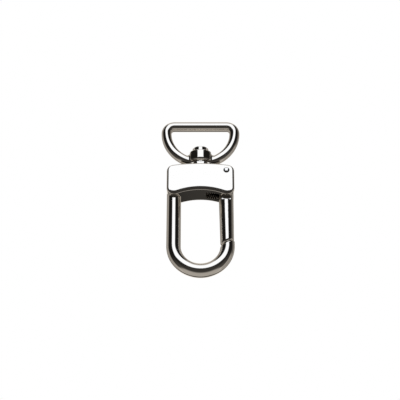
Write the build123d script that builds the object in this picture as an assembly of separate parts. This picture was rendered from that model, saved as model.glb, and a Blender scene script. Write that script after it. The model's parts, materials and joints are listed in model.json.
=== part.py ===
from build123d import *
import os
from math import acos, atan2, cos, degrees, radians, sin, sqrt

# Swivel snap hook for a 20 mm strap: a D-ring turns on a headed post in the top of the hook, and a
# sprung gate closes the hook's mouth.
#
# Frame: the hook hangs from its strap bar. +Z is up along the swivel axis, the front faces -Y, the
# gate is on the +X side, and the origin is the middle of the strap bar. Millimetres and degrees.
# The outlines are drawn in the XZ plane as (x, z).

# D-ring
RING_WIRE_R = 1.75  # round wire of the ring
RING_HALF = 11.85  # swivel axis to the middle of the wire, at the ring's widest
RING_CORNER_R = 2.8  # bend at each end of the strap bar, at the middle of the wire
HUB_HALF_WIDTH = 3.65
HUB_HALF_DEPTH = 3.6  # swivel axis to the middle of the hub's front
HUB_FACE_R = 4.8  # the hub's front and back are shallow curves
HUB_CORNER_R = 1.1  # upright corners
HUB_TOP = -10.95
HUB_BOTTOM = -14.95  # roof of the recess that turns over the collar
HUB_TOP_EDGE_R = 0.4
HUB_BOTTOM_EDGE_R = 1.05
HUB_BLEND_R = 0.9  # blend between the hub and the ring's bow
RECESS_DEPTH = 3.2  # far enough to open through the bottom of the bow

# Swivel
POST_R = 1.6
POST_BOTTOM = -22.9
HEAD_R = 2.8
HEAD_TOP = -9.2
HEAD_EDGE_R = 0.35
WASHER_R = 2.7
WASHER_THICK = 0.2
COLLAR_R = 2.8
COLLAR_FLAT = 2.55  # swivel axis to the flats on the collar's front and back
RUNNING_GAP = 0.05  # clearance of every turning fit, on the radius and end to end

# Block: the head of the hook
BLOCK_HALF_WIDTH = 11.5
BLOCK_HALF_DEPTH = 4.3
BLOCK_TOP = -16.73  # at the swivel axis
BLOCK_TOP_SIDE = -17.77  # where the crowned top would meet the side
BLOCK_TOP_CORNER_R = 2.4
BLOCK_EDGE_R = 0.8
ARCH_TOP = -27.03  # underside at the swivel axis
LOBE_BOTTOM = -28.73  # lowest line of the two lobes
LOBE_X = 9.1
LOBE_R = 4.0
BEVEL_HEIGHT = 1.07  # bevel along the lower front and back edges
BEVEL_DEPTH = 0.53

# Hook wire
HOOK_WIRE_R = 2.45
HOOK_HALF = 9.05  # swivel axis to the middle of the wire, and the radius of the bend
BEND_Z = -46.7  # centre of the bend
LEG_TOP = -24.0  # inside the block
NOSE_TOP = -42.0  # the nose is cut back from here by the seam
SEAM_POINT = (7.45, -46.8)
SEAM_SLOPE = 27.0  # the seam rises outwards, so the nose stops the gate
SEAM_GAP = 0.14
NOSE_EDGE_R = 0.35
GATE_TIP_EDGE_R = 0.9

# Gate
PIN_X = 8.85
PIN_Z = -19.7
PIN_R = 0.8
PIN_HEAD_R = 1.05
PIN_HEAD_THICK = 0.4  # let into the front of the block
PIN_DOME = 0.27  # the head's dome, which stands out of the block
BOSS_R = 1.5
GATE_INNER_X = 6.24
GATE_OUTER_X = 11.27
GATE_TIP_INNER_X = 6.7
GATE_HALF_DEPTH = 2.45
TONGUE_HALF_DEPTH = 1.95
SEAT_TOP = -23.6  # the inner face runs straight up to here, as the spring's seat
SHOULDER_R = 10.2  # the full-round leg starts at this distance from the pin
SHOULDER_Z = PIN_Z - SHOULDER_R
TIP_Z = -49.0  # below the seam, which cuts the tip
GATE_OPEN = 27.0  # swing of the gate, which the joint's range repeats
SLOT_HALF_DEPTH = 2.1
SLOT_SPARE_SWING = 1.0
SLOT_GAP = 0.1

# Gate spring, a compression coil along X
SPRING_Z = -25.6
SPRING_WIRE_R = 0.15
SPRING_R = 0.85  # middle of the wire
SPRING_LEFT = -0.6
SPRING_TURNS = 9
SPRING_HOLE_R = 1.1

FAR = 20.0  # size of the cutting solids, past every outline


def prism(outline, half_depth):
    """A closed XZ outline as a solid, the same distance to the front and the back."""
    return extrude(Plane.XZ * make_face(outline), half_depth, both=True)


def upright(radius, bottom, top):
    """A cylinder along the swivel axis."""
    return Pos(0, 0, (bottom + top) / 2) * Cylinder(radius, top - bottom)


def across(radius, front, back):
    """A cylinder along Y at the gate's pin."""
    middle = Pos(PIN_X, (front + back) / 2, PIN_Z)
    return middle * Rot(90, 0, 0) * Cylinder(radius, back - front)


def round_bar(path, radius):
    """A round bar along a path."""
    start = Plane(origin=path @ 0, z_dir=path % 0)
    return sweep(start * Circle(radius), path=path)


def swung(point, angle):
    """Where a point of the gate comes to when the gate opens by an angle."""
    x = point[0] - PIN_X
    z = point[1] - PIN_Z
    turn = radians(angle)
    return (PIN_X + x * cos(turn) + z * sin(turn), PIN_Z - x * sin(turn) + z * cos(turn))


def pin_circle_point(radius, angle):
    """A point on a circle round the pin, by its angle from +X."""
    return (PIN_X + radius * cos(radians(angle)), PIN_Z + radius * sin(radians(angle)))


def touch_angle(point, radius):
    """The angle at which a line from a point touches the upper inner side of a circle round the pin."""
    x = point[0] - PIN_X
    z = point[1] - PIN_Z
    return 360 + degrees(atan2(z, x)) - degrees(acos(radius / sqrt(x * x + z * z)))


def above_seam(gap):
    """Everything above the slanted seam between the nose and the gate's tip."""
    seam = Pos(SEAM_POINT[0], 0, SEAM_POINT[1]) * Rot(0, -SEAM_SLOPE, 0)
    return seam * Pos(0, 0, gap + FAR) * Box(2 * FAR, 2 * FAR, 2 * FAR)


def hub_outline():
    """The hub from above, as (x, y)."""
    side_depth = HUB_HALF_DEPTH - HUB_FACE_R + sqrt(HUB_FACE_R**2 - HUB_HALF_WIDTH**2)
    front_left = (-HUB_HALF_WIDTH, -side_depth)
    front_right = (HUB_HALF_WIDTH, -side_depth)
    back_left = (-HUB_HALF_WIDTH, side_depth)
    back_right = (HUB_HALF_WIDTH, side_depth)
    outline = [
        ThreePointArc(front_left, (0, -HUB_HALF_DEPTH), front_right),
        Line(front_right, back_right),
        ThreePointArc(back_right, (0, HUB_HALF_DEPTH), back_left),
        Line(back_left, front_left),
    ]
    face = make_face(outline)
    return fillet(face.vertices(), HUB_CORNER_R)


def hub():
    """The thick middle of the ring's bow, which the swivel post runs through."""
    solid = Pos(0, 0, HUB_BOTTOM) * extrude(hub_outline(), HUB_TOP - HUB_BOTTOM)
    solid = fillet(solid.edges().group_by(Axis.Z)[-1], HUB_TOP_EDGE_R)
    return fillet(solid.edges().group_by(Axis.Z)[0], HUB_BOTTOM_EDGE_R)


def ring_wire():
    bend_x = RING_HALF - RING_CORNER_R
    bend_reach = RING_CORNER_R * sin(radians(45))
    bar = Line((-bend_x, 0), (bend_x, 0))
    corner = ThreePointArc(
        (bend_x, 0),
        (bend_x + bend_reach, bend_reach - RING_CORNER_R),
        (RING_HALF, -RING_CORNER_R),
    )
    bow = ThreePointArc(
        (RING_HALF, -RING_CORNER_R),
        (0, -RING_CORNER_R - RING_HALF),
        (-RING_HALF, -RING_CORNER_R),
    )
    path = Plane.XZ * Wire([*bar.edges(), *corner.edges(), *bow.edges(), *mirror(corner, Plane.YZ).edges()])
    return round_bar(path, RING_WIRE_R)


def seam_face(solid):
    """The flat face of a solid that lies along the seam."""
    normal = Vector(-sin(radians(SEAM_SLOPE)), 0, cos(radians(SEAM_SLOPE)))
    flats = solid.faces().filter_by(GeomType.PLANE)
    return flats.sort_by(lambda face: abs(face.normal_at().dot(normal)))[-1]


def d_ring():
    ring = ring_wire() + hub()
    ring = fillet(ring.edges().filter_by(GeomType.BSPLINE), HUB_BLEND_R)
    ring -= upright(COLLAR_R + RUNNING_GAP, HUB_BOTTOM - RECESS_DEPTH, HUB_BOTTOM)
    return ring - upright(POST_R + RUNNING_GAP, HUB_BOTTOM, HUB_TOP)


def swivel_post():
    seat = HUB_TOP + RUNNING_GAP
    head = upright(HEAD_R, seat, HEAD_TOP)
    head = fillet(head.edges().filter_by(GeomType.CIRCLE).sort_by(Axis.Z)[-1], HEAD_EDGE_R)
    return head + upright(POST_R, POST_BOTTOM, seat)


def swivel_washer():
    top = HUB_BOTTOM - RUNNING_GAP
    ring = upright(WASHER_R, top - WASHER_THICK, top)
    return ring - upright(POST_R + RUNNING_GAP, top - WASHER_THICK, top)


def arch_points(inset):
    """The arch and the lobes under the block, moved up into the block by an inset."""
    rise = ARCH_TOP - LOBE_BOTTOM
    both_radii = (LOBE_X**2 + rise**2) / (2 * rise)
    lean = LOBE_X / both_radii
    lobe_z = LOBE_BOTTOM + LOBE_R
    small = LOBE_R - inset
    bend = (LOBE_X - small * lean, lobe_z - small * sqrt(1 - lean**2))
    return bend, (0, ARCH_TOP + inset), (LOBE_X, lobe_z - small), (LOBE_X + small, lobe_z)


def flipped(point):
    return (-point[0], point[1])


def block_outline():
    bend, top, lobe, _ = arch_points(0)
    corner_r = BLOCK_HALF_WIDTH - LOBE_X
    side_bottom = (BLOCK_HALF_WIDTH, LOBE_BOTTOM + corner_r)
    side_top = (BLOCK_HALF_WIDTH, BLOCK_TOP_SIDE)
    crown = ThreePointArc(flipped(side_top), (0, BLOCK_TOP), side_top)
    arch = ThreePointArc(flipped(bend), top, bend)
    half = [
        TangentArc([lobe, bend], tangent=(-1, 0)),
        TangentArc([lobe, side_bottom], tangent=(1, 0)),
        Line(side_bottom, side_top),
    ]
    edges = [part.edge() for part in half]
    edges += [mirror(edge, Plane.YZ) for edge in edges]
    return Wire.combine([crown.edge(), arch.edge(), *[edge.edge() for edge in edges]])[0]


def bevel_outline(inset):
    bend, top, lobe, side = arch_points(inset)
    upper = (side[0], side[1] + FAR)
    half = [
        TangentArc([lobe, bend], tangent=(-1, 0)),
        TangentArc([lobe, side], tangent=(1, 0)),
        Line(side, upper),
    ]
    edges = [part.edge() for part in half]
    edges += [mirror(edge, Plane.YZ).edge() for edge in edges]
    across_top = Line(flipped(upper), upper).edge()
    arch = ThreePointArc(flipped(bend), top, bend).edge()
    return Wire.combine([across_top, arch, *edges])[0]


def block():
    face = make_face(block_outline())
    top_corners = face.vertices().sort_by(Axis.Y)[-2:]
    face = fillet(top_corners, BLOCK_TOP_CORNER_R)
    solid = extrude(Plane.XZ * face, BLOCK_HALF_DEPTH, both=True)
    by_depth = solid.edges().group_by(Axis.Y)
    solid = fillet([*by_depth[0], *by_depth[-1]], BLOCK_EDGE_R)
    full = make_face(bevel_outline(0))
    narrow = make_face(bevel_outline(BEVEL_HEIGHT))
    bevelled = extrude(Plane.XZ * full, BLOCK_HALF_DEPTH - BEVEL_DEPTH, both=True)
    wide_end = Plane.XZ.offset(BLOCK_HALF_DEPTH - BEVEL_DEPTH) * full
    narrow_end = Plane.XZ.offset(BLOCK_HALF_DEPTH) * narrow
    front = loft([wide_end, narrow_end], ruled=True)
    bevelled += front
    bevelled += mirror(front, Plane.XZ)
    return solid & bevelled


def slot():
    """The room in the block that the gate's tongue swings in."""
    swing = GATE_OPEN + SLOT_SPARE_SWING
    wall_x = GATE_INNER_X - SLOT_GAP
    clear_r = BOSS_R + SLOT_GAP
    seat_corner = (wall_x, SEAT_TOP)
    touch = touch_angle(seat_corner, clear_r)
    wall_low = swung((wall_x, PIN_Z - FAR), swing)
    wall_high = swung(seat_corner, swing)
    boss_low = swung(pin_circle_point(clear_r, touch), swing)
    boss_top = pin_circle_point(clear_r, 90)
    boss_between = pin_circle_point(clear_r, (90 + touch - swing) / 2)
    outside = (PIN_X + FAR, boss_top[1])
    outline = [
        Line(wall_low, wall_high),
        Line(wall_high, boss_low),
        ThreePointArc(boss_low, boss_between, boss_top),
        Line(boss_top, outside),
        Line(outside, (outside[0], wall_low[1])),
        Line((outside[0], wall_low[1]), wall_low),
    ]
    return prism(outline, SLOT_HALF_DEPTH)


def hook_wire():
    leg = Line((-HOOK_HALF, LEG_TOP), (-HOOK_HALF, BEND_Z))
    bend = ThreePointArc((-HOOK_HALF, BEND_Z), (0, BEND_Z - HOOK_HALF), (HOOK_HALF, BEND_Z))
    nose = Line((HOOK_HALF, BEND_Z), (HOOK_HALF, NOSE_TOP))
    path = Plane.XZ * Wire([leg.edge(), bend.edge(), nose.edge()])
    upper_right = Pos(FAR / 2, 0, SEAM_POINT[1]) * Box(FAR, FAR, FAR)
    wire = round_bar(path, HOOK_WIRE_R) - (above_seam(0) & upper_right)
    return fillet(seam_face(wire).edges(), NOSE_EDGE_R)


def hook_body():
    collar_top = HUB_BOTTOM - RUNNING_GAP - WASHER_THICK
    body = block() - slot()
    collar = upright(COLLAR_R, BLOCK_TOP - BLOCK_EDGE_R, collar_top)
    body += collar & Box(2 * FAR, 2 * COLLAR_FLAT, 2 * FAR)
    body += hook_wire()
    body -= upright(POST_R, POST_BOTTOM, collar_top)
    body -= across(PIN_R, -BLOCK_HALF_DEPTH, BLOCK_HALF_DEPTH)
    body -= across(PIN_HEAD_R, -BLOCK_HALF_DEPTH, PIN_HEAD_THICK - BLOCK_HALF_DEPTH)
    spring_hole = Pos(SPRING_LEFT, 0, SPRING_Z) * Rot(0, 90, 0)
    hole_length = GATE_INNER_X - SPRING_LEFT
    return body - spring_hole * Pos(0, 0, hole_length / 2) * Cylinder(SPRING_HOLE_R, hole_length)


def gate_outline():
    """The gate from the front: the boss, the spring's seat and the straight leg."""
    touch = touch_angle((GATE_INNER_X, SEAT_TOP), BOSS_R)
    seat_corner = (GATE_INNER_X, SEAT_TOP)
    boss_left = pin_circle_point(BOSS_R, touch)
    boss_between = pin_circle_point(BOSS_R, (90 + touch) / 2)
    boss_top = pin_circle_point(BOSS_R, 90)
    shoulder = (GATE_OUTER_X - BOSS_R, boss_top[1])
    side_top = (GATE_OUTER_X, PIN_Z)
    outline = [
        Line((GATE_INNER_X, TIP_Z), seat_corner),
        Line(seat_corner, boss_left),
        ThreePointArc(boss_left, boss_between, boss_top),
        Line(boss_top, shoulder),
        TangentArc([shoulder, side_top], tangent=(1, 0)),
        Line(side_top, (GATE_OUTER_X, TIP_Z)),
        Line((GATE_OUTER_X, TIP_Z), (GATE_INNER_X, TIP_Z)),
    ]
    return outline


def gate():
    top_half = (GATE_OUTER_X - GATE_INNER_X) / 2
    tip_half = (GATE_OUTER_X - GATE_TIP_INNER_X) / 2
    top_x = (GATE_OUTER_X + GATE_INNER_X) / 2
    tip_x = (GATE_OUTER_X + GATE_TIP_INNER_X) / 2
    oval = Pos(top_x, 0, SHOULDER_Z) * Ellipse(top_half, GATE_HALF_DEPTH)
    tip_oval = Pos(tip_x, 0, TIP_Z) * Ellipse(tip_half, GATE_HALF_DEPTH)
    rod = loft([oval, tip_oval], ruled=True) + extrude(oval, FAR)
    rod &= prism(gate_outline(), BLOCK_HALF_DEPTH)
    swing_room = across(SHOULDER_R, -FAR, FAR)
    swing_room -= Pos(PIN_X, 0, PIN_Z) * Box(2 * FAR, 2 * TONGUE_HALF_DEPTH, 2 * FAR)
    rod -= swing_room
    rod &= above_seam(SEAM_GAP)
    rod = fillet(seam_face(rod).edges(), GATE_TIP_EDGE_R)
    return rod - across(PIN_R + RUNNING_GAP, -BLOCK_HALF_DEPTH, BLOCK_HALF_DEPTH)


def gate_pin():
    """A rivet: a shank through the block and a low domed head at the front."""
    dome_r = (PIN_HEAD_R**2 + PIN_DOME**2) / (2 * PIN_DOME)
    dome_top = -BLOCK_HALF_DEPTH - PIN_DOME
    head = across(PIN_HEAD_R, dome_top, PIN_HEAD_THICK - BLOCK_HALF_DEPTH)
    head &= Pos(PIN_X, dome_r + dome_top, PIN_Z) * Sphere(dome_r)
    return head + across(PIN_R, -BLOCK_HALF_DEPTH, BLOCK_HALF_DEPTH)


def gate_spring():
    length = GATE_INNER_X - SPRING_LEFT - 2 * SPRING_WIRE_R - RUNNING_GAP
    coil = Helix(length / SPRING_TURNS, length, SPRING_R)
    wire = Plane(origin=coil @ 0, z_dir=coil % 0) * Circle(SPRING_WIRE_R)
    spring = sweep(wire, path=coil, is_frenet=True)
    return Pos(SPRING_LEFT + SPRING_WIRE_R, 0, SPRING_Z) * Rot(0, 90, 0) * spring


NODES = {
    "d_ring": d_ring,
    "swivel_post": swivel_post,
    "swivel_washer": swivel_washer,
    "hook_body": hook_body,
    "gate": gate,
    "gate_pin": gate_pin,
    "gate_spring": gate_spring,
}

os.makedirs("parts", exist_ok=True)
for name, make in NODES.items():
    solid = make()
    solid.label = name
    export_step(solid, f"parts/{name}.step")
    print(name, round(solid.volume, 2), "mm3")
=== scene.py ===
import json
import math

import bpy
from mathutils import Matrix, Vector


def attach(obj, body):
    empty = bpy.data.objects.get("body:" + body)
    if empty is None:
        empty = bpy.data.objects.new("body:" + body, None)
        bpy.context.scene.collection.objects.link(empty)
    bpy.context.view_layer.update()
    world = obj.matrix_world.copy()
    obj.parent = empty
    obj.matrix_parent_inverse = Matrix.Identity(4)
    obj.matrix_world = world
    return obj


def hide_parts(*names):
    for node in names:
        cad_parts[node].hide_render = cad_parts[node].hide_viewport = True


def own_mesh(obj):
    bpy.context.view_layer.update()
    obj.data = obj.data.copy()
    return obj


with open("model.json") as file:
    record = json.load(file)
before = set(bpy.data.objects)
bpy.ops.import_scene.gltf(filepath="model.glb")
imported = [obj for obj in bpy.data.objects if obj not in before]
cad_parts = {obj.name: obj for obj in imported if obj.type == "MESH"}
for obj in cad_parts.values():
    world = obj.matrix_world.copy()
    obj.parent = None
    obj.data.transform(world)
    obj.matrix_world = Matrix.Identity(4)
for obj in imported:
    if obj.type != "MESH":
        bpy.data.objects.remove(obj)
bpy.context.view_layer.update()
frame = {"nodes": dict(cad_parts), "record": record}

MM = 0.001

# Camera: in front of the hook and below it, looking up at the block's face.
VIEW_TILT = math.radians(28.5)
VIEW_DISTANCE = 477 * MM
VIEW_LENS = 126
VIEW_AIM = Vector((-0.17 * MM, 0, -29.05 * MM))

FLOOR_Z = -350 * MM
FLOOR_HALF = 20  # half its side, in metres

# Metals. Colours are linear.
NICKEL = (0.80, 0.765, 0.71)
NICKEL_WORN = (0.86, 0.84, 0.80)
STEEL = (0.78, 0.765, 0.74)
# The spring wire's colours sit well below steel: painted shade for the dark pocket that the spring sits
# in.
SPRING_WIRE_SHADED = (0.30, 0.29, 0.28)
SPRING_WIRE_SHADED_RUBBED = (0.44, 0.43, 0.415)  # where the wire is rubbed, still darkened by the painted shade of the pocket

# Nickel plate. Scales are features per mm, and depths and reaches are in mm.
SMUDGE_SCALE = 0.28
RIPPLE_SCALE = 0.32
GRAIN_SCALE = 3.5
RIPPLE_DEPTH = 0.003
GRAIN_DEPTH = 0.00012
SCRATCH_DEPTH = 0.0002
WEAR_REACH = 0.25
PLATE_ROUGH = 0.028
SMUDGE_ROUGH = 0.035
GRAIN_ROUGH = 0.012
SCRATCH_ROUGH = 0.18
WEAR_ROUGH = 0.08

# Hairline scratches in the plate, in two directions: how the pattern is turned, its stretch, the lines
# per mm and their width.
HAIRLINES_DOWN = ((0.1, 0.25, 0.0), 0.12, 1.1, 0.012)
HAIRLINES_CROSSING = ((0.9, 0.5, 0.7), 0.16, 0.9, 0.01)

# Pin head
TURNING_SCALE = 3.2
TURNING_DEPTH = 0.0007
TURNING_ROUGH = 0.09
PIN_ROUGH = 0.035
PIN_AXIS = (8.85, 0, -19.7)  # in mm

# Spring wire
DRAWING_STRETCH = (9, 22, 1)  # streaks in a turn, and round the wire
DRAWING_DEPTH = 0.0006
DRAWING_ROUGH = 0.22
WIRE_ROUGH = 0.28

# Gate spring: a compression coil along X with closed ends.
SPRING_START = Vector((-0.45, 0, -25.6)) * MM
SPRING_LENGTH = 6.45 * MM
SPRING_RADIUS = 0.85 * MM
SPRING_WIRE_RADIUS = 0.15 * MM
SPRING_TURNS = 10
SPRING_CLOSED = 1  # turns that lie against each other at each end
SPRING_CLOSED_PITCH = 2 * SPRING_WIRE_RADIUS * 1.04
STEPS_IN_TURN = 36
WIRE_SIDES = 12

# The studio, by direction from the object, in degrees. Azimuth 0 is the front and +90 the gate side, and
# elevation is above level. Each card of light has its low and high azimuth, its low and high elevation,
# its soft edge and its brightness.
CARDS = [
    (80, 140, -40, 74, 10, 0.11),
    (112, 140, -40, 74, 14, 0.26),
    (76, 106, -40, 6, 12, 0.22),
    (-140, -88, -40, 74, 12, 0.35),
    (32, 78, -34, 6, 22, 0.03),
    (-78, -34, -34, -2, 22, 0.02),
    (-24, 24, -20, 8, 14, 0.028),
]
BACK_CARD = (-26, 26, -13, 64, 12, 0.85)  # azimuth from the back

# The light box in front: elevations, half its width in azimuth, and how fast it widens further up.
BOX_LOW = 13
BOX_HIGH = 66
BOX_HALF = 23
BOX_FLARE_START = 30
BOX_FLARE = 0.62
BOX_SIDE_SOFT = 8
BOX_END_SOFT = 6
BOX_COLOUR = (1.24, 1.30, 1.40)

# The room round it. Each pair is where a glow starts and where it is full.
ROOM_COLOUR = (1.06, 1.0, 0.93)
DARK = 0.011
DARK_BELOW = 0.035
DARK_BELOW_DEPTHS = (5, 36)
FLOOR_GLOW = 0.38
FLOOR_GLOW_DEPTHS = (29, 46)
CEILING_GLOW = 0.48
CEILING_GLOW_HEIGHTS = (62, 74)
CAMERA_SHADE_TILT = math.radians(10)
CAMERA_SHADE_ANGLES = (34, 64)  # from the middle of the shade
BACK_SHADE_AZIMUTH = (-24, 32, 20)  # low, high and soft edge, from the back
BACK_SHADE_ELEVATION = (-48, -18, 8)
EVEN_LIGHT = 1.07


def make_camera():
    data = bpy.data.cameras.new("camera")
    data.lens = VIEW_LENS
    data.sensor_width = 36
    data.clip_start = 0.01
    data.clip_end = 60
    camera = bpy.data.objects.new("camera", data)
    bpy.context.scene.collection.objects.link(camera)
    back = Vector((0, -math.cos(VIEW_TILT), -math.sin(VIEW_TILT)))
    up = Vector((0, -math.sin(VIEW_TILT), math.cos(VIEW_TILT)))
    side = up.cross(back)
    turn = Matrix((side, up, back)).transposed()
    camera.matrix_world = Matrix.Translation(VIEW_AIM + back * VIEW_DISTANCE) @ turn.to_4x4()
    bpy.context.scene.camera = camera


class Nodes:
    """A short way to write a node tree."""

    def __init__(self, tree):
        self.tree = tree

    def add(self, kind, **settings):
        node = self.tree.nodes.new(kind)
        for key, value in settings.items():
            setattr(node, key, value)
        return node

    def link(self, source, target):
        self.tree.links.new(source, target)

    def fill(self, socket, value):
        """Puts a number, a tuple or another node's output into a socket."""
        if isinstance(value, bpy.types.NodeSocket):
            self.link(value, socket)
        else:
            socket.default_value = value

    def math(self, operation, a, b=None):
        node = self.add("ShaderNodeMath", operation=operation)
        self.fill(node.inputs[0], a)
        if b is not None:
            self.fill(node.inputs[1], b)
        return node.outputs[0]

    def vector(self, operation, a, b):
        node = self.add("ShaderNodeVectorMath", operation=operation)
        self.fill(node.inputs[0], a)
        self.fill(node.inputs["Scale"] if operation == "SCALE" else node.inputs[1], b)
        return node.outputs["Value"] if operation == "DOT_PRODUCT" else node.outputs["Vector"]

    def smooth(self, value, low, high):
        """0 below low, 1 above high, smooth between."""
        node = self.add("ShaderNodeMapRange", interpolation_type="SMOOTHSTEP")
        self.link(value, node.inputs["Value"])
        node.inputs["From Min"].default_value = low
        node.inputs["From Max"].default_value = high
        return node.outputs["Result"]

    def band(self, value, low, high, soft):
        """1 between low and high, 0 outside, smooth over soft at each end."""
        rise = self.smooth(value, low - soft / 2, low + soft / 2)
        fall = self.smooth(value, high - soft / 2, high + soft / 2)
        return self.math("SUBTRACT", rise, fall)

    def noise(self, place, scale, detail=2.0):
        node = self.add("ShaderNodeTexNoise")
        self.link(place, node.inputs["Vector"])
        node.inputs["Scale"].default_value = scale
        node.inputs["Detail"].default_value = detail
        return node.outputs["Fac"]

    def bump(self, height, depth, normal=None):
        node = self.add("ShaderNodeBump")
        self.link(height, node.inputs["Height"])
        node.inputs["Distance"].default_value = depth
        if normal is not None:
            self.link(normal, node.inputs["Normal"])
        return node.outputs["Normal"]


def place_in_mm(tree):
    coordinates = tree.add("ShaderNodeTexCoord")
    return tree.vector("SCALE", coordinates.outputs["Object"], 1 / MM)


def hairlines(tree, place, turn, stretch, cells, width):
    """Thin straight scratches in one main direction: 1 on a scratch, 0 beside it."""
    mapping = tree.add("ShaderNodeMapping")
    tree.link(place, mapping.inputs["Vector"])
    mapping.inputs["Rotation"].default_value = turn
    mapping.inputs["Scale"].default_value = (1, 1, stretch)
    cracks = tree.add("ShaderNodeTexVoronoi", feature="DISTANCE_TO_EDGE")
    tree.link(mapping.outputs["Vector"], cracks.inputs["Vector"])
    cracks.inputs["Scale"].default_value = cells
    near = tree.math("SUBTRACT", 1.0, tree.smooth(cracks.outputs["Distance"], 0.0, width))
    patches = tree.smooth(tree.noise(place, 0.5), 0.5, 0.62)
    return tree.math("MULTIPLY", near, patches)


def edge_wear(tree, reach):
    """1 on sharp outer edges, fading to 0 over the reach."""
    bevel = tree.add("ShaderNodeBevel", samples=6)
    bevel.inputs["Radius"].default_value = reach
    geometry = tree.add("ShaderNodeNewGeometry")
    same = tree.vector("DOT_PRODUCT", bevel.outputs["Normal"], geometry.outputs["Normal"])
    return tree.smooth(tree.math("SUBTRACT", 1.0, same), 0.01, 0.16)


def new_metal(name):
    material = bpy.data.materials.new(name)
    material.use_nodes = True
    shader = material.node_tree.nodes["Principled BSDF"]
    shader.inputs["Metallic"].default_value = 1
    return material, Nodes(material.node_tree), shader


def colour_between(tree, amount, low, high):
    node = tree.add("ShaderNodeMix", data_type="RGBA")
    tree.link(amount, node.inputs["Factor"])
    colours = [socket for socket in node.inputs if socket.type == "RGBA"]
    colours[0].default_value = (*low, 1)
    colours[1].default_value = (*high, 1)
    return [socket for socket in node.outputs if socket.type == "RGBA"][0]


def polished_nickel():
    """Buffed nickel plate: a mirror with a faint cast ripple, hairlines, smudges and rubbed edges."""
    material, tree, shader = new_metal("polished_nickel")
    place = place_in_mm(tree)
    smudge = tree.smooth(tree.noise(place, SMUDGE_SCALE, 4.0), 0.45, 0.75)
    grain = tree.noise(place, GRAIN_SCALE, 3.0)
    down = hairlines(tree, place, *HAIRLINES_DOWN)
    crossing = hairlines(tree, place, *HAIRLINES_CROSSING)
    scratch = tree.math("MAXIMUM", down, crossing)
    worn = tree.math("MULTIPLY", edge_wear(tree, WEAR_REACH * MM), tree.smooth(grain, 0.42, 0.62))
    tree.link(colour_between(tree, worn, NICKEL, NICKEL_WORN), shader.inputs["Base Color"])
    rough = tree.math("ADD", tree.math("MULTIPLY", smudge, SMUDGE_ROUGH), PLATE_ROUGH)
    rough = tree.math("ADD", rough, tree.math("MULTIPLY", grain, GRAIN_ROUGH))
    rough = tree.math("ADD", rough, tree.math("MULTIPLY", scratch, SCRATCH_ROUGH))
    rough = tree.math("ADD", rough, tree.math("MULTIPLY", worn, WEAR_ROUGH))
    tree.link(rough, shader.inputs["Roughness"])
    normal = tree.bump(tree.noise(place, RIPPLE_SCALE, 1.0), RIPPLE_DEPTH * MM)
    normal = tree.bump(grain, GRAIN_DEPTH * MM, normal)
    normal = tree.bump(scratch, -SCRATCH_DEPTH * MM, normal)
    tree.link(normal, shader.inputs["Normal"])
    return material


def pin_steel():
    """The pin's turned and polished head, with faint rings round its axis."""
    material, tree, shader = new_metal("pin_steel")
    place = place_in_mm(tree)
    from_axis = tree.vector("SUBTRACT", place, PIN_AXIS)
    rings = tree.add("ShaderNodeTexWave", wave_type="RINGS", rings_direction="Y")
    tree.link(from_axis, rings.inputs["Vector"])
    rings.inputs["Scale"].default_value = TURNING_SCALE
    rings.inputs["Distortion"].default_value = 0.6
    fine = tree.noise(place, 6.0, 3.0)
    marks = tree.math("MULTIPLY", rings.outputs["Fac"], fine)
    tree.link(colour_between(tree, fine, STEEL, NICKEL_WORN), shader.inputs["Base Color"])
    rough = tree.math("ADD", tree.math("MULTIPLY", marks, TURNING_ROUGH), PIN_ROUGH)
    tree.link(rough, shader.inputs["Roughness"])
    tree.link(tree.bump(marks, TURNING_DEPTH * MM), shader.inputs["Normal"])
    return material


def spring_steel():
    """Drawn wire: streaks run along it, on a colour darkened as painted shade of the pocket the coil sits
    in. The U of the coil's map runs along the wire, V round it.
    """
    material, tree, shader = new_metal("spring_steel")
    coordinates = tree.add("ShaderNodeTexCoord")
    mapping = tree.add("ShaderNodeMapping")
    tree.link(coordinates.outputs["UV"], mapping.inputs["Vector"])
    mapping.inputs["Scale"].default_value = DRAWING_STRETCH
    streaks = tree.noise(mapping.outputs["Vector"], 1.0, 4.0)
    spots = tree.smooth(tree.noise(place_in_mm(tree), 2.2, 3.0), 0.5, 0.7)
    # Painted shade: the wire's base colour is kept dark so that the coil looks shaded inside its pocket;
    # rubbed spots are a little lighter.
    tree.link(colour_between(tree, spots, SPRING_WIRE_SHADED, SPRING_WIRE_SHADED_RUBBED), shader.inputs["Base Color"])
    rough = tree.math("ADD", tree.math("MULTIPLY", streaks, DRAWING_ROUGH), WIRE_ROUGH)
    tree.link(rough, shader.inputs["Roughness"])
    tree.link(tree.bump(streaks, DRAWING_DEPTH * MM), shader.inputs["Normal"])
    return material


def coil_point(share):
    """The middle of the spring's wire at a share of its length."""
    turn = share * SPRING_TURNS
    open_turns = SPRING_TURNS - 2 * SPRING_CLOSED
    closed_rise = SPRING_CLOSED_PITCH
    open_rise = (SPRING_LENGTH - 2 * SPRING_CLOSED * closed_rise) / open_turns
    low = min(turn, SPRING_CLOSED)
    high = max(turn - SPRING_TURNS + SPRING_CLOSED, 0)
    rise = (low + high) * closed_rise + (turn - low - high) * open_rise
    angle = turn * 2 * math.pi
    spoke = Vector((0, math.cos(angle), math.sin(angle))) * SPRING_RADIUS
    return SPRING_START + Vector((rise, 0, 0)) + spoke


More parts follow.
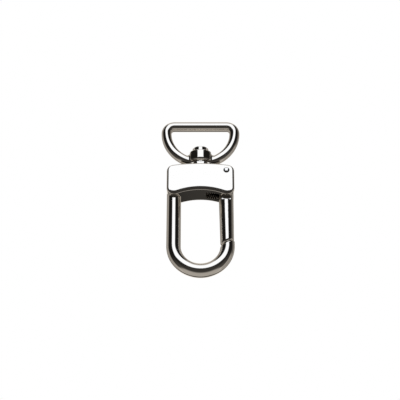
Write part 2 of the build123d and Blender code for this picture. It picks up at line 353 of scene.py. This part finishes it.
def make_spring(material):
    """The gate's return spring: round wire wound into a coil, with closed turns at both ends."""
    along = SPRING_TURNS * STEPS_IN_TURN
    around = WIRE_SIDES
    points = [coil_point(i / along) for i in range(along + 1)]
    corners = []
    for i, point in enumerate(points):
        ahead = points[min(i + 1, along)] - points[max(i - 1, 0)]
        spoke = Vector((0, point.y - SPRING_START.y, point.z - SPRING_START.z)).normalized()
        across = ahead.normalized().cross(spoke)
        for k in range(around):
            angle = k / around * 2 * math.pi
            outwards = spoke * math.cos(angle) + across * math.sin(angle)
            corners.append(point + outwards * SPRING_WIRE_RADIUS)
    faces = []
    for i in range(along):
        for k in range(around):
            after = (k + 1) % around
            first = i * around
            faces.append((first + k, first + after, first + around + after, first + around + k))
    faces.append(tuple(reversed(range(around))))
    faces.append(tuple(range(along * around, (along + 1) * around)))
    mesh = bpy.data.meshes.new("gate_spring_coil")
    mesh.from_pydata(corners, [], faces)
    chart = mesh.uv_layers.new(name="wire")
    for face in mesh.polygons:
        face.use_smooth = len(face.vertices) == 4
        for loop in face.loop_indices:
            vertex = mesh.loops[loop].vertex_index
            chart.data[loop].uv = (vertex // around / STEPS_IN_TURN, vertex % around / around)
    mesh.materials.append(material)
    coil = bpy.data.objects.new("gate_spring_coil", mesh)
    bpy.context.scene.collection.objects.link(coil)
    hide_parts("gate_spring")
    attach(coil, "hook")
    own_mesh(coil)


def card(tree, azimuth, elevation, spec):
    """A soft rectangle of light in the studio."""
    az_low, az_high, el_low, el_high, soft, bright = spec
    across = tree.band(azimuth, az_low, az_high, soft)
    up = tree.band(elevation, el_low, el_high, soft)
    return tree.math("MULTIPLY", tree.math("MULTIPLY", across, up), bright)


def front_box(tree, azimuth, elevation):
    """The main light: a big panel in front and above, leaning over the object so its top looks wider."""
    rise = tree.math("MAXIMUM", tree.math("SUBTRACT", elevation, BOX_FLARE_START), 0.0)
    flare = tree.math("MULTIPLY", rise, BOX_FLARE)
    across = tree.math("SUBTRACT", tree.math("ABSOLUTE", azimuth), flare)
    edge = tree.smooth(across, BOX_HALF - BOX_SIDE_SOFT / 2, BOX_HALF + BOX_SIDE_SOFT / 2)
    up = tree.band(elevation, BOX_LOW, BOX_HIGH, BOX_END_SOFT)
    return tree.math("MULTIPLY", tree.math("SUBTRACT", 1.0, edge), up)


def low_glow(tree, direction, elevation, from_back):
    """Light coming back from below, shaded where the camera stands and behind the object."""
    depth = tree.math("MULTIPLY", elevation, -1.0)
    glow = tree.math("MULTIPLY", tree.smooth(depth, *FLOOR_GLOW_DEPTHS), FLOOR_GLOW)
    shade = (0, -math.cos(CAMERA_SHADE_TILT), -math.sin(CAMERA_SHADE_TILT))
    off_shade = tree.math("ARCCOSINE", tree.vector("DOT_PRODUCT", direction, shade))
    glow = tree.math("MULTIPLY", glow, tree.smooth(tree.math("DEGREES", off_shade), *CAMERA_SHADE_ANGLES))
    behind = tree.band(from_back, *BACK_SHADE_AZIMUTH)
    behind = tree.math("MULTIPLY", behind, tree.band(elevation, *BACK_SHADE_ELEVATION))
    glow = tree.math("MULTIPLY", glow, tree.math("SUBTRACT", 1.0, behind))
    dim = tree.math("MULTIPLY", tree.smooth(depth, *DARK_BELOW_DEPTHS), DARK_BELOW)
    return tree.math("ADD", glow, dim)


def make_world():
    world = bpy.data.worlds.new("studio")
    world.use_nodes = True
    tree = Nodes(world.node_tree)
    background = world.node_tree.nodes["Background"]
    coordinates = tree.add("ShaderNodeTexCoord")
    split = tree.add("ShaderNodeSeparateXYZ")
    tree.link(coordinates.outputs["Generated"], split.inputs[0])
    x, y, z = split.outputs
    azimuth = tree.math("DEGREES", tree.math("ARCTAN2", x, tree.math("MULTIPLY", y, -1.0)))
    from_back = tree.math("DEGREES", tree.math("ARCTAN2", x, y))
    elevation = tree.math("DEGREES", tree.math("ARCSINE", z))
    room = tree.math("ADD", low_glow(tree, coordinates.outputs["Generated"], elevation, from_back), DARK)
    for spec in CARDS:
        room = tree.math("ADD", room, card(tree, azimuth, elevation, spec))
    room = tree.math("ADD", room, card(tree, from_back, elevation, BACK_CARD))
    ceiling = tree.math("MULTIPLY", tree.smooth(elevation, *CEILING_GLOW_HEIGHTS), CEILING_GLOW)
    room = tree.math("ADD", room, ceiling)
    room = tree.vector("SCALE", ROOM_COLOUR, room)
    box = tree.vector("SCALE", BOX_COLOUR, front_box(tree, azimuth, elevation))
    # The camera sees plain white behind the object, and matt surfaces get even light from all round.
    path = tree.add("ShaderNodeLightPath")
    even = tree.math("MULTIPLY", path.outputs["Is Diffuse Ray"], EVEN_LIGHT)
    plain = tree.math("MAXIMUM", path.outputs["Is Camera Ray"], even)
    plain = tree.vector("SCALE", (1, 1, 1), plain)
    seen = tree.vector("MAXIMUM", tree.vector("ADD", room, box), plain)
    tree.link(seen, background.inputs["Color"])
    bpy.context.scene.world = world
    bpy.context.scene.view_settings.view_transform = "Standard"


def make_floor():
    """A plain pale floor well below the hanging hook."""
    half = FLOOR_HALF
    mesh = bpy.data.meshes.new("floor")
    flat = [(-half, -half), (half, -half), (half, half), (-half, half)]
    mesh.from_pydata([(x, y, FLOOR_Z) for x, y in flat], [], [(0, 1, 2, 3)])
    material = bpy.data.materials.new("floor")
    material.use_nodes = True
    shader = material.node_tree.nodes["Principled BSDF"]
    shader.inputs["Base Color"].default_value = (0.94, 0.94, 0.94, 1)
    shader.inputs["Roughness"].default_value = 1
    shader.inputs["Specular IOR Level"].default_value = 0
    mesh.materials.append(material)
    floor = bpy.data.objects.new("floor", mesh)
    bpy.context.scene.collection.objects.link(floor)
    floor.visible_glossy = False


def finish_nodes(materials):
    """Gives every CAD node the metal of its slot in the record."""
    slots = {part["node"]: part["material_slot"] for part in frame["record"]["subparts"]}
    for name, node in frame["nodes"].items():
        node.data.materials.clear()
        node.data.materials.append(materials[slots[name]])


make_camera()
make_world()
make_floor()
metals = {
    "polished_nickel": polished_nickel(),
    "pin_steel": pin_steel(),
    "spring_steel": spring_steel(),
}
finish_nodes(metals)
make_spring(metals["spring_steel"])
